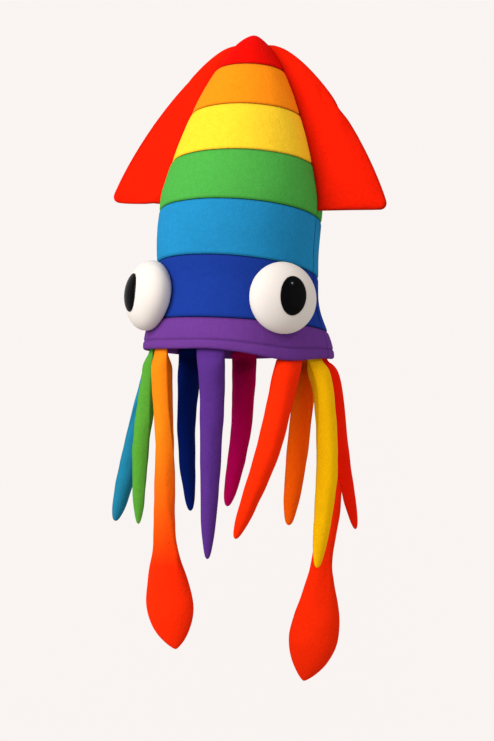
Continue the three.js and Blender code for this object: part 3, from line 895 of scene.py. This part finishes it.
class SQUIDHAT_OT_stuff_eyes(bpy.types.Operator):
    """Sews the two stuffed eyes to the face and sets their pupils"""

    bl_idname = "squidhat.stuff_eyes"
    bl_label = "Stuff the eyes"

    def execute(self, context):
        crown = Crown(context.scene.squid_crown)
        sizes = context.scene.squid_eyes
        for side in ("left", "right"):
            eye = Eye(crown, sizes, side)
            self.stuff(crown, sizes, eye, side)
            self.set_pupil(sizes, eye, side)
        return {"FINISHED"}

    def stuff(self, crown, sizes, eye, side):
        bm = bmesh.new()
        seam = bm.verts.layers.float.new("seam")
        bmesh.ops.create_uvsphere(bm, u_segments=72, v_segments=44, radius=1.0)
        stand_up(bm)
        for vert in bm.verts:
            around = vert.co.copy()
            point = Vector((around.x * sizes.radius, around.y * sizes.bulge, around.z * sizes.radius))
            point *= 1 + EYE_LUMP * ripple(around, EYE_LUMP_SIZE)
            placed = eye.place @ point
            upright = crown.upright(placed)
            out = math.hypot(upright.x, upright.y)
            least = crown.radius(upright.z) + EYE_GAP
            near = within_unit(1 - (out - least) / EYE_SHADE_WIDTH)
            if out < least:
                upright.x *= least / out
                upright.y *= least / out
                placed = crown.place(upright)
            vert.co = placed
            # Painted shade: the eye is darkened towards where it presses against the crown.
            vert[seam] = EYE_SHADE * near**2
        bmesh.ops.recalc_face_normals(bm, faces=bm.faces)
        nodes = [f"{side}_eye_cover", f"{side}_eye_stuffing"]
        cover = new_piece(f"{side}_eye_ball", bm, "eye_fleece", nodes)
        round_off(cover)
        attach(cover, "hat")

    def set_pupil(self, sizes, eye, side):
        bm = bmesh.new()
        bmesh.ops.create_uvsphere(bm, u_segments=64, v_segments=24, radius=1.0)
        stand_up(bm)
        shift = sizes.left_shift if side == "left" else 0.0
        for vert in bm.verts:
            x = shift + vert.co.x * sizes.pupil_width / 2
            z = vert.co.z * sizes.pupil_height / 2
            lift = -vert.co.y * (sizes.pupil_dome if vert.co.y < 0 else PUPIL_BACK)
            out = self.outwards(sizes, x, z)
            base = Vector((x, -Eye.front(sizes, x, z), z))
            vert.co = eye.place @ (base + out * (lift + PUPIL_GAP))
        bmesh.ops.recalc_face_normals(bm, faces=bm.faces)
        pupil = new_piece(f"{side}_pupil_oval", bm, "pupil", [f"{side}_pupil"])
        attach(pupil, "hat")

    def outwards(self, sizes, x, z):
        front = Eye.front(sizes, x, z)
        return Vector((x / sizes.radius**2, -front / sizes.bulge**2, z / sizes.radius**2)).normalized()


# ---- Arms ----
CURVE_STEPS = 240  # between two knots of a hanging arm's middle line
ARM_SIDES = 28
ARM_RINGS = 64
TENTACLE_RINGS = 96
RING_POWER = 1.25  # above 1, rings crowd towards the tip
TIP_POWER = 8  # the higher, the blunter an arm's tip
TURN_START = 0.1  # share of an arm's length
TURN_LENGTH = 0.45
STALK_TAPER = 0.25
STALK_LENGTH = 0.5
CLUB_START = 0.58
CLUB_MIDDLE = 0.85
CLUB_RISE_POWER = 1.2
CLUB_TIP_POWER = 0.85
CLUB_FLAT_START = 0.55
CLUB_FLAT_LENGTH = 0.3
TAB_DEPTH = 0.0095  # from the outside of the hem to an arm's upper end, and its height
TAB_CLOSING = 0.002
ARM_HELD = 0.006  # length below the root that stays put as an arm fills
ARM_LUMP = 0.0007
ARM_LUMP_SIZE = 0.019
ARM_LUMP_WIDTH = 0.008  # half width from which the lumps have their full depth
ARM_FLAT_POWER = 1.12  # above 1, the sewn sides are sharper
ARM_SEAM_RIDGE = 0.16  # width of the ridge, as a share of the half thickness
ARM_SEAM_LINE = 0.13
RIDGE_LEAST_HALF = 1e-4  # half width under which the ridge shrinks with the arm
ARM_BLEND_START = -0.001


def hung_curve(points):
    """A smooth line through knots: its places, and the distance travelled to each."""
    first = points[0] * 2 - points[1]
    last = points[-1] * 2 - points[-2]
    knots = [first, *points, last]
    dense = []
    for i in range(1, len(knots) - 2):
        p0, p1, p2, p3 = knots[i - 1 : i + 3]
        t0, t1, t2 = (max((b - a).length ** 0.5, MERGE) for a, b in ((p0, p1), (p1, p2), (p2, p3)))
        leave = ((p1 - p0) / t0 - (p2 - p0) / (t0 + t1) + (p2 - p1) / t1) * t1
        arrive = ((p2 - p1) / t1 - (p3 - p1) / (t1 + t2) + (p3 - p2) / t2) * t1
        squared = p1 * -3 + p2 * 3 - leave * 2 - arrive
        cubed = p1 * 2 - p2 * 2 + leave + arrive
        for k in range(CURVE_STEPS):
            t = k / CURVE_STEPS
            dense.append(p1 + leave * t + squared * t**2 + cubed * t**3)
    dense.append(points[-1])
    travelled = [0.0]
    for start, end in zip(dense, dense[1:]):
        travelled.append(travelled[-1] + (end - start).length)
    return dense, travelled


class Hang:
    """The middle line of an arm, from its root at the hem to its tip."""

    def __init__(self, crown, joint, tip_height, stops, out_shape, along_shape):
        axis = Vector(joint["axis"])
        self.out = Vector((-axis.y, axis.x, 0)).normalized()
        self.along = -axis
        self.root = Vector(joint["pos_m"])
        inside = crown.radius(0.0) - TAB_DEPTH
        self.top = crown.place(Vector((self.out.x * inside, self.out.y * inside, TAB_DEPTH)))
        knots = [self.root]
        for share, outwards, sideways in zip(stops, out_shape, along_shape):
            knot = self.root + self.out * outwards + self.along * sideways
            knot.z = self.root.z + share * (tip_height - self.root.z)
            knots.append(knot)
        self.points, self.travelled = hung_curve(knots)
        self.length = self.travelled[-1]

    def at(self, distance):
        """The place and the direction at a distance from the root, negative above it."""
        if distance <= 0:
            up = self.top - self.root
            return self.root + up * (-distance / up.length), (-up).normalized()
        wanted = min(distance, self.length)
        high = min(bisect_right(self.travelled, wanted), len(self.travelled) - 1)
        low = high - 1
        share = (wanted - self.travelled[low]) / (self.travelled[high] - self.travelled[low])
        start, end = self.points[low], self.points[high]
        return start.lerp(end, share), (end - start).normalized()


def arm_half_width(width, taper, share):
    return width / 2 * (1 - taper * share) * math.sqrt(max(1 - share**TIP_POWER, 0.0))


def tentacle_half_width(width, club, share):
    stalk = width / 2 * (1 - STALK_TAPER * ease(share / STALK_LENGTH))
    if share < CLUB_MIDDLE:
        rise = ease((share - CLUB_START) / (CLUB_MIDDLE - CLUB_START)) ** CLUB_RISE_POWER
        return stalk + (club / 2 - stalk) * rise
    past = (share - CLUB_MIDDLE) / (1 - CLUB_MIDDLE)
    return club / 2 * max(1 - past**2, 0.0) ** CLUB_TIP_POWER


def stuff_arm(name, cloth, hang, sizes, half_width, turn):
    """A stuffed arm: a long ball drawn out along its hang, flat at the root, ridged at both seams."""
    is_tentacle = name in TENTACLES
    rings = TENTACLE_RINGS if is_tentacle else ARM_RINGS
    bm = bmesh.new()
    seam = bm.verts.layers.float.new("seam")
    bmesh.ops.create_uvsphere(bm, u_segments=ARM_SIDES, v_segments=rings, radius=1.0)
    tab = (hang.top - hang.root).length
    sewn = []
    for number, vert in enumerate(bm.verts):
        down = math.acos(min(max(vert.co.z, -1.0), 1.0)) / math.pi
        around = math.atan2(vert.co.y, vert.co.x)
        distance = -tab + (hang.length + tab) * (1 - (1 - down) ** RING_POWER)
        if distance < ARM_HELD:
            sewn.append(number)
        share = within_unit(distance / hang.length)
        closing = min((distance + tab) / TAB_CLOSING, 1.0)
        half = half_width(share) * math.sqrt(max(1 - (1 - closing) ** 2, 0.0))
        if math.hypot(vert.co.x, vert.co.y) < TINY:
            half = 0.0
        opened = ease((distance + sizes.root_start) / (sizes.root_start + sizes.root_length))
        flat = sizes.root_flatness + (sizes.flatness - sizes.root_flatness) * opened
        if is_tentacle:
            flat += (sizes.club_flatness - flat) * ease((share - CLUB_FLAT_START) / CLUB_FLAT_LENGTH)
        from_seam = abs(math.sin(around))
        x = 0.0
        if half > 0:
            ridge = sizes.ridge * dip(from_seam, ARM_SEAM_RIDGE)
            x = half * math.cos(around) * (1 + ridge / max(half, RIDGE_LEAST_HALF))
        y = half * flat * math.copysign(from_seam**ARM_FLAT_POWER, math.sin(around))
        centre, direction = hang.at(distance)
        across = direction.cross(hang.out).normalized()
        face = direction.cross(across).normalized()
        twist = math.radians(turn) * ease((share - TURN_START) / TURN_LENGTH)
        outwards = across * (x * math.cos(twist) - y * math.sin(twist))
        outwards += face * (x * math.sin(twist) + y * math.cos(twist))
        point = centre + outwards
        if outwards.length > TINY:
            lumps = opened * min(half / ARM_LUMP_WIDTH, 1.0) * ARM_LUMP
            point += outwards.normalized() * lumps * ripple(point, ARM_LUMP_SIZE)
        vert.co = point
        vert[seam] = dip(from_seam, ARM_SEAM_LINE)
    bmesh.ops.recalc_face_normals(bm, faces=bm.faces)
    arm = new_piece(f"{name}_stuffed", bm, cloth, [f"{name}_sleeve", f"{name}_filling"])
    swell_with_cloth(arm, pressure=2.0, most=0.0012, held=sewn)
    round_off(arm)
    start, _ = hang.at(ARM_BLEND_START)
    end, _ = hang.at(sizes.bend)
    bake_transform(arm, "hat", name, start=start, end=end)


def hang_arm(scene, name, cloth, stops, shapes, half_width, turn):
    """Finds the hinge and the lowest place of an arm, and stuffs it in between."""
    joint = next(joint for joint in frame["joints"] if joint["name"] == f"{name}_swing")
    tip_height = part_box(f"{name}_sleeve")[0].z
    hang = Hang(Crown(scene.squid_crown), joint, tip_height, stops, *shapes)
    stuff_arm(name, cloth, hang, scene.squid_arms, half_width, turn)


class SQUIDHAT_OT_hang_arms(bpy.types.Operator):
    """Stuffs the nine arms and hangs them from the hem"""

    bl_idname = "squidhat.hang_arms"
    bl_label = "Hang the arms"

    def execute(self, context):
        for colour, (cloth, width, taper, turn, *shapes) in ARMS.items():
            half_width = partial(arm_half_width, width, taper)
            hang_arm(context.scene, f"{colour}_arm", cloth, ARM_STOPS, shapes, half_width, turn)
        return {"FINISHED"}


class SQUIDHAT_OT_hang_tentacles(bpy.types.Operator):
    """Stuffs the two long tentacles and hangs them from the hem"""

    bl_idname = "squidhat.hang_tentacles"
    bl_label = "Hang the tentacles"

    def execute(self, context):
        for name, (cloth, width, club, turn, *shapes) in TENTACLES.items():
            half_width = partial(tentacle_half_width, width, club)
            hang_arm(context.scene, name, cloth, TENTACLE_STOPS, shapes, half_width, turn)
        return {"FINISHED"}


# ---- Finishes ----
def linear(colour):
    """A display colour as the shader's own, with its alpha."""
    channels = [c / 12.92 if c <= 0.04045 else ((c + 0.055) / 1.055) ** 2.4 for c in colour]
    return (*channels, 1.0)


def shaded(colour, factor):
    return (*[min(channel * factor, 1.0) for channel in colour[:3]], 1.0)


class Number:
    """A number that changes over a surface: arithmetic on it adds Math nodes."""

    def __init__(self, finish, socket):
        self.finish = finish
        self.socket = socket

    def work(self, operation, *values):
        node = self.finish.add("ShaderNodeMath", {"operation": operation}, dict(enumerate(values)))
        return Number(self.finish, node.outputs[0])

    def __add__(self, other):
        return self.work("ADD", self, other)

    __radd__ = __add__

    def __mul__(self, other):
        return self.work("MULTIPLY", self, other)

    __rmul__ = __mul__

    def __sub__(self, other):
        return self.work("SUBTRACT", self, other)

    def __rsub__(self, other):
        return self.work("SUBTRACT", other, self)


class Finish:
    """A material whose nodes are added one by one."""

    def __init__(self, name):
        self.material = bpy.data.materials.new(name)
        self.material.use_nodes = True
        self.nodes = self.material.node_tree.nodes
        self.nodes.clear()
        self.shader = self.add("ShaderNodeBsdfPrincipled")
        self.add("ShaderNodeOutputMaterial", None, {"Surface": self.shader.outputs[0]})
        self.place = self.add("ShaderNodeTexCoord").outputs["Object"]

    def add(self, kind, settings=None, values=None):
        """Adds a node of a type, with its settings, and then the values or links of its sockets."""
        node = self.nodes.new(kind)
        for setting, value in (settings or {}).items():
            setattr(node, setting, value)
        for key, value in (values or {}).items():
            self.feed(self.socket(node, key), value)
        return node

    def socket(self, node, key):
        if isinstance(key, int):
            return node.inputs[key]
        return next(s for s in node.inputs if key in (s.identifier, s.name))

    def feed(self, socket, value):
        source = value.socket if isinstance(value, Number) else value
        if isinstance(source, bpy.types.NodeSocket):
            self.material.node_tree.links.new(source, socket)
        else:
            socket.default_value = source

    def dress(self, colour, roughness, relief, strength, depth, gloss):
        """Feeds the shader a colour, a roughness and a relief, and sets how much it reflects."""
        values = {"Strength": strength, "Distance": depth, "Height": relief}
        bump = self.add("ShaderNodeBump", None, values)
        inputs = self.shader.inputs
        self.feed(inputs["Base Color"], colour)
        self.feed(inputs["Roughness"], roughness)
        self.feed(inputs["Normal"], bump.outputs["Normal"])
        inputs["Specular IOR Level"].default_value = gloss
        return self.material

    def noise(self, scale, detail=2.0, roughness=0.5):
        node = self.add(
            "ShaderNodeTexNoise",
            None,
            {"Vector": self.place, "Scale": scale, "Detail": detail, "Roughness": roughness},
        )
        return Number(self, node.outputs["Fac"])

    def attribute(self, name):
        return Number(self, self.add("ShaderNodeAttribute", {"attribute_name": name}).outputs["Fac"])

    def mix(self, factor, first, second):
        """One colour where the factor is 0, the other where it is 1."""
        node = self.add(
            "ShaderNodeMix",
            {"data_type": "RGBA"},
            {"Factor_Float": factor, "A_Color": first, "B_Color": second},
        )
        return next(s for s in node.outputs if s.identifier == "Result_Color")

    def spread(self, number, low, high):
        """A number's range from low to high, stretched to 0 to 1."""
        node = self.add(
            "ShaderNodeMapRange",
            {"clamp": True},
            {"Value": number, "From Min": low, "From Max": high},
        )
        return Number(self, node.outputs["Result"])


CLOTHS = {}


def finish_for(slot):
    """The material of a cloth, made when it is first asked for."""
    if slot not in CLOTHS:
        colour = linear(getattr(bpy.context.scene.squid_colours, slot))
        makers = {
            "pupil": glossy_felt,
            "fibre_filling": loose_fibre,
            "tentacle_orange_fleece": fading_fleece,
            "eye_fleece": smooth_plush,
        }
        CLOTHS[slot] = makers.get(slot, fleece)(slot, colour)
    return CLOTHS[slot]


FLEECE_LIGHT = 1.07  # of a cloth's own colour
FLEECE_DARK = 0.9
# darkened colour for seam lines and for painted shade
FLEECE_SEAM_AND_SHADE = 0.35
FADE_START = -0.075  # height where a tentacle's orange starts to turn red
FADE_END = -0.21
FADE_SEAM = 0.4


def brush(finish, light, dark, seam_and_shade_colour):
    """A short, matt nap over a soft knitted ground, darker along the seams and in the painted shade that the
    seam attribute also carries.
    """
    nap = finish.noise(520.0, detail=3.0, roughness=0.65)
    tufts = finish.noise(190.0)
    patches = finish.noise(22.0)
    shade = finish.spread(nap * 0.6 + tufts * 0.25 + patches * 0.15, 0.36, 0.64)
    # The seam attribute darkens seam lines and also paints shade, such as at a fin's root.
    cloth = finish.mix(finish.attribute("seam") * 0.55, finish.mix(shade, dark, light), seam_and_shade_colour)
    relief = nap * 0.7 + tufts * 0.6
    return finish.dress(cloth, 0.98 - nap * 0.16, relief, strength=0.55, depth=0.0011, gloss=0.04)


def fleece(slot, colour):
    light = shaded(colour, FLEECE_LIGHT)
    dark = shaded(colour, FLEECE_DARK)
    return brush(Finish(slot), light, dark, shaded(colour, FLEECE_SEAM_AND_SHADE))


def fading_fleece(slot, colour):
    """Fleece that fades from orange at the top to red at the club."""
    finish = Finish(slot)
    red = linear(bpy.context.scene.squid_colours.tentacle_red_fleece)
    parts = finish.add("ShaderNodeSeparateXYZ", None, {"Vector": finish.place})
    fade = finish.spread(Number(finish, parts.outputs["Z"]), FADE_START, FADE_END)
    light = finish.mix(fade, shaded(colour, FLEECE_LIGHT), shaded(red, FLEECE_LIGHT))
    dark = finish.mix(fade, shaded(colour, FLEECE_DARK), shaded(red, FLEECE_DARK))
    return brush(finish, light, dark, shaded(red, FADE_SEAM))


def smooth_plush(slot, colour):
    """A fine, close plush, almost without grain."""
    finish = Finish(slot)
    nap = finish.noise(900.0)
    patches = finish.noise(40.0)
    cloth = finish.mix(nap * 0.5 + patches * 0.5, shaded(colour, 0.95), shaded(colour, 1.04))
    # Painted shade where the eye meets the crown, from the seam attribute.
    cloth = finish.mix(finish.attribute("seam"), cloth, shaded(colour, 0.6))
    return finish.dress(cloth, 0.95 - nap * 0.1, nap, strength=0.2, depth=0.0006, gloss=0.05)


def glossy_felt(slot, colour):
    """Black moulded felt with a soft gloss."""
    finish = Finish(slot)
    grain = finish.noise(700.0)
    felt = finish.mix(grain, colour, shaded(colour, 1.5))
    return finish.dress(felt, grain * 0.06 + 0.1, grain, strength=0.05, depth=0.0002, gloss=0.06)


def loose_fibre(slot, colour):
    """White filling, in soft tufts."""
    finish = Finish(slot)
    tufts = finish.noise(120.0, detail=6.0, roughness=0.7)
    fibre = finish.mix(tufts, shaded(colour, 0.8), colour)
    return finish.dress(fibre, tufts * 0.1 + 0.88, tufts, strength=0.8, depth=0.002, gloss=0.5)


# ---- Stage ----
FLOOR_RADIUS = 8.0
FLOOR_HEIGHT = -2.4
WARM_WHITE = (1.0, 0.985, 0.97, 1.0)
LAMP_AIM = Vector((0, 0, 0.02))
# Each lamp's place from the hat, as right, up and back from the camera, and its size.
LAMPS = {
    "key": ((-1.7, 1.0, -1.45), 1.3),
    "fill": ((1.9, 0.2, -0.9), 1.6),
    "sparkle": ((1.3, 1.25, -0.9), 0.09),
}


class SQUIDHAT_OT_lay_stage(bpy.types.Operator):
    """Lays the pale floor, hangs the lights and stands the camera"""

    bl_idname = "squidhat.lay_stage"
    bl_label = "Lay the stage"

    def execute(self, context):
        scene = context.scene
        settings = scene.squid_light
        scene.view_settings.view_transform = "Standard"
        self.lay_floor(scene)
        self.light_world(scene, settings)
        camera = self.stand_camera(scene, settings)
        for name, (place, size) in LAMPS.items():
            self.hang_lamp(scene, camera, name, getattr(settings, name), place, size)
        return {"FINISHED"}

    def lay_floor(self, scene):
        """One seamless bowl: a flat floor that curves up into a wall on every side."""
        bm = bmesh.new()
        bmesh.ops.create_uvsphere(bm, u_segments=64, v_segments=40, radius=FLOOR_RADIUS)
        for vert in bm.verts:
            vert.co.z = max(vert.co.z, FLOOR_HEIGHT)
        bmesh.ops.remove_doubles(bm, verts=bm.verts, dist=1e-5)
        bmesh.ops.recalc_face_normals(bm, faces=bm.faces)
        bmesh.ops.reverse_faces(bm, faces=bm.faces)
        mesh = bpy.data.meshes.new("floor")
        bm.to_mesh(mesh)
        bm.free()
        mesh.polygons.foreach_set("use_smooth", [True] * len(mesh.polygons))
        floor = bpy.data.objects.new("floor", mesh)
        scene.collection.objects.link(floor)
        floor.visible_diffuse = False
        floor.visible_glossy = False
        floor.visible_shadow = False
        mesh.materials.append(self.backdrop(scene))

    def backdrop(self, scene):
        finish = Finish("backdrop")
        colour = linear(scene.squid_colours.backdrop)
        drift = finish.noise(0.35, detail=1.0)
        inputs = finish.shader.inputs
        finish.feed(inputs["Emission Color"], finish.mix(drift, shaded(colour, 0.985), colour))
        inputs["Base Color"].default_value = (0.0, 0.0, 0.0, 1.0)
        inputs["Specular IOR Level"].default_value = 0.0
        inputs["Emission Strength"].default_value = 1.0
        return finish.material

    def light_world(self, scene, settings):
        world = bpy.data.worlds.new("sky")
        world.use_nodes = True
        background = world.node_tree.nodes["Background"]
        background.inputs["Color"].default_value = WARM_WHITE
        background.inputs["Strength"].default_value = settings.sky
        scene.world = world

    def stand_camera(self, scene, settings):
        data = bpy.data.cameras.new("camera")
        data.sensor_width = 36.0
        data.lens = data.sensor_width * settings.distance / settings.view_height
        data.clip_end = 50.0
        camera = bpy.data.objects.new("camera", data)
        scene.collection.objects.link(camera)
        scene.camera = camera
        away = Vector(
            (
                math.sin(settings.azimuth) * math.cos(settings.elevation),
                -math.cos(settings.azimuth) * math.cos(settings.elevation),
                math.sin(settings.elevation),
            )
        )
        right = Vector((math.cos(settings.azimuth), math.sin(settings.azimuth), 0))
        aim = Vector((0, 0, settings.aim_height)) + right * settings.aim_side
        turn = (-away).to_track_quat("-Z", "Y") @ Quaternion((0, 0, 1), settings.roll)
        spot = aim + away * settings.distance
        camera.matrix_world = Matrix.Translation(spot) @ turn.to_matrix().to_4x4()
        return camera

    def hang_lamp(self, scene, camera, name, power, place, size):
        """A soft square lamp that faces the hat."""
        data = bpy.data.lights.new(name, "AREA")
        data.energy = power
        data.size = size
        lamp = bpy.data.objects.new(name, data)
        scene.collection.objects.link(lamp)
        turn = camera.matrix_world.to_3x3()
        right, up, forward = turn.col[0], turn.col[1], -turn.col[2]
        spot = right * place[0] + up * place[1] + forward * place[2]
        facing = (-spot).to_track_quat("-Z", "Y").to_matrix().to_4x4()
        lamp.matrix_world = Matrix.Translation(LAMP_AIM + spot) @ facing


class SQUIDHAT_PT_maker(bpy.types.Panel):
    """Lists the steps that make the hat, and its sizes and colours"""

    bl_label = "Squid Hat"
    bl_idname = "SQUIDHAT_PT_maker"
    bl_space_type = "VIEW_3D"
    bl_region_type = "UI"
    bl_category = "Squid Hat"

    def draw(self, context):
        layout = self.layout
        for operator in OPERATORS:
            layout.operator(operator.bl_idname)
        for holder in GROUPS:
            box = layout.box()
            settings = getattr(context.scene, holder)
            for name in settings.bl_rna.properties.keys():
                if name not in ("rna_type", "name"):
                    box.prop(settings, name)


OPERATORS = (
    SQUIDHAT_OT_lay_stage,
    SQUIDHAT_OT_sew_bands,
    SQUIDHAT_OT_close_tip,
    SQUIDHAT_OT_line_crown,
    SQUIDHAT_OT_sew_fins,
    SQUIDHAT_OT_stuff_eyes,
    SQUIDHAT_OT_hang_arms,
    SQUIDHAT_OT_hang_tentacles,
)
GROUPS = {
    "squid_crown": CrownSizes,
    "squid_fins": FinSizes,
    "squid_eyes": EyeSizes,
    "squid_arms": ArmSizes,
    "squid_colours": ClothColours,
    "squid_light": LightSettings,
}


def register():
    for group in GROUPS.values():
        bpy.utils.register_class(group)
    for holder, group in GROUPS.items():
        setattr(bpy.types.Scene, holder, PointerProperty(type=group))
    for operator in OPERATORS:
        bpy.utils.register_class(operator)
    bpy.utils.register_class(SQUIDHAT_PT_maker)


def unregister():
    bpy.utils.unregister_class(SQUIDHAT_PT_maker)
    for operator in reversed(OPERATORS):
        bpy.utils.unregister_class(operator)
    for holder, group in reversed(GROUPS.items()):
        delattr(bpy.types.Scene, holder)
        bpy.utils.unregister_class(group)


def main():
    register()
    bpy.ops.squidhat.lay_stage()
    bpy.ops.squidhat.sew_bands()
    bpy.ops.squidhat.close_tip()
    bpy.ops.squidhat.line_crown()
    bpy.ops.squidhat.sew_fins()
    bpy.ops.squidhat.stuff_eyes()
    bpy.ops.squidhat.hang_arms()
    bpy.ops.squidhat.hang_tentacles()


if __name__ == "__main__":
    main()
